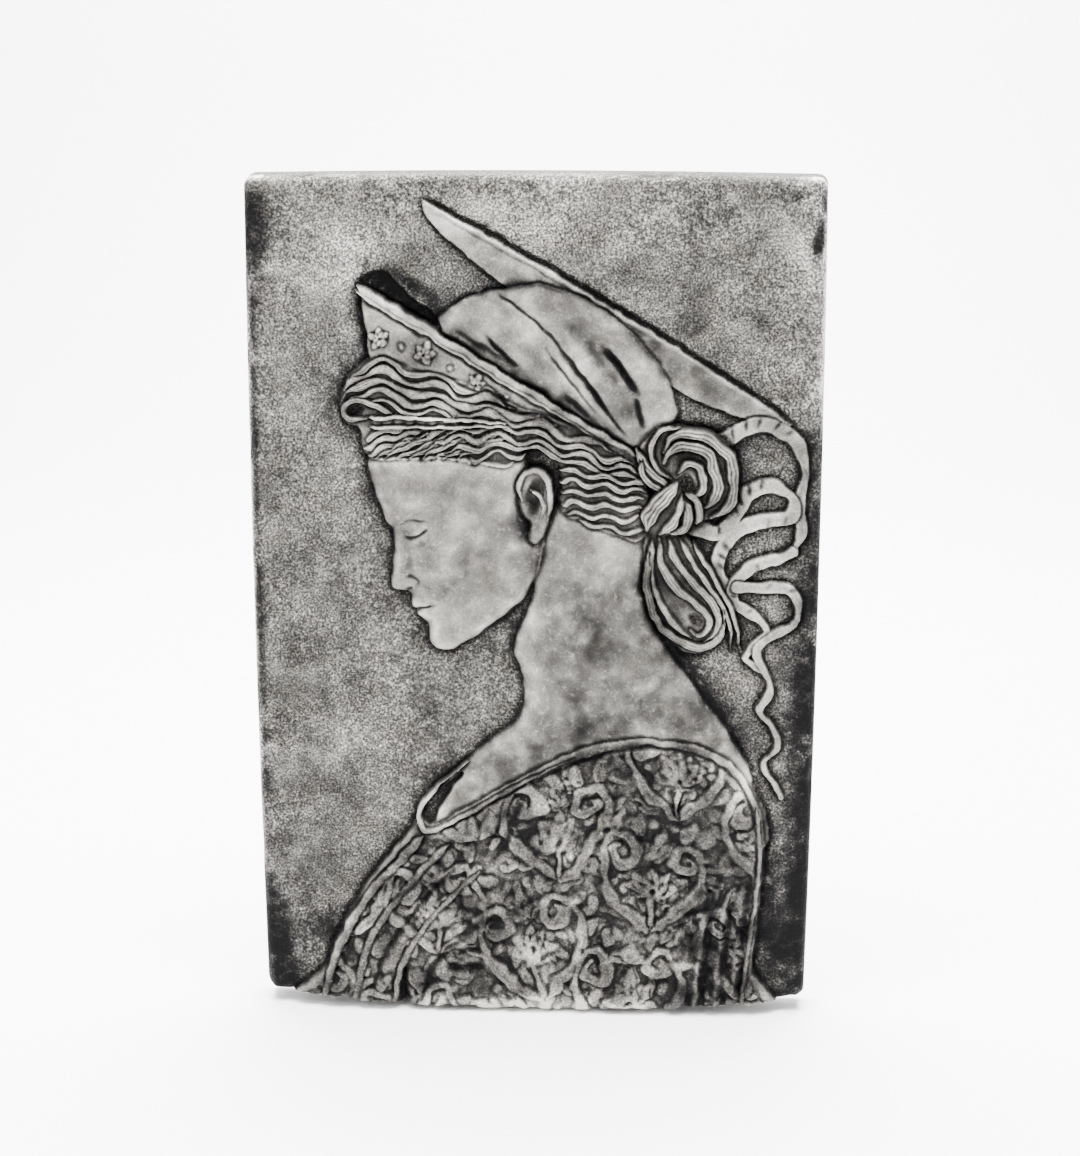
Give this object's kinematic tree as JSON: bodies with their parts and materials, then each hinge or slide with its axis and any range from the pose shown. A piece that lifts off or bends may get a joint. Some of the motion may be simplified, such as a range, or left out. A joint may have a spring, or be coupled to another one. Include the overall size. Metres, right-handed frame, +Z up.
{
  "type": "religious wall plaque",
  "caption": "Upright stone wall plaque with a crowned and haloed saint in low relief, seen from the side, and a recess in its flat back to hang it by.",
  "frame": {"origin": "centre of the flat back, where it lies against the wall", "axes": "+Z up; the back's outward normal is +Y, into the wall; the carved face looks along -Y; +X to the viewer's right"},
  "size_m": [0.3054, 0.0316, 0.4609],
  "materials": {
    "cast_stone": "matt cast stone, rubbed pale on the high places, with dark patina in the hollows"
  },
  "bodies": {
    "root": {"plaque": "cast_stone"}
  },
  "joints": []
}
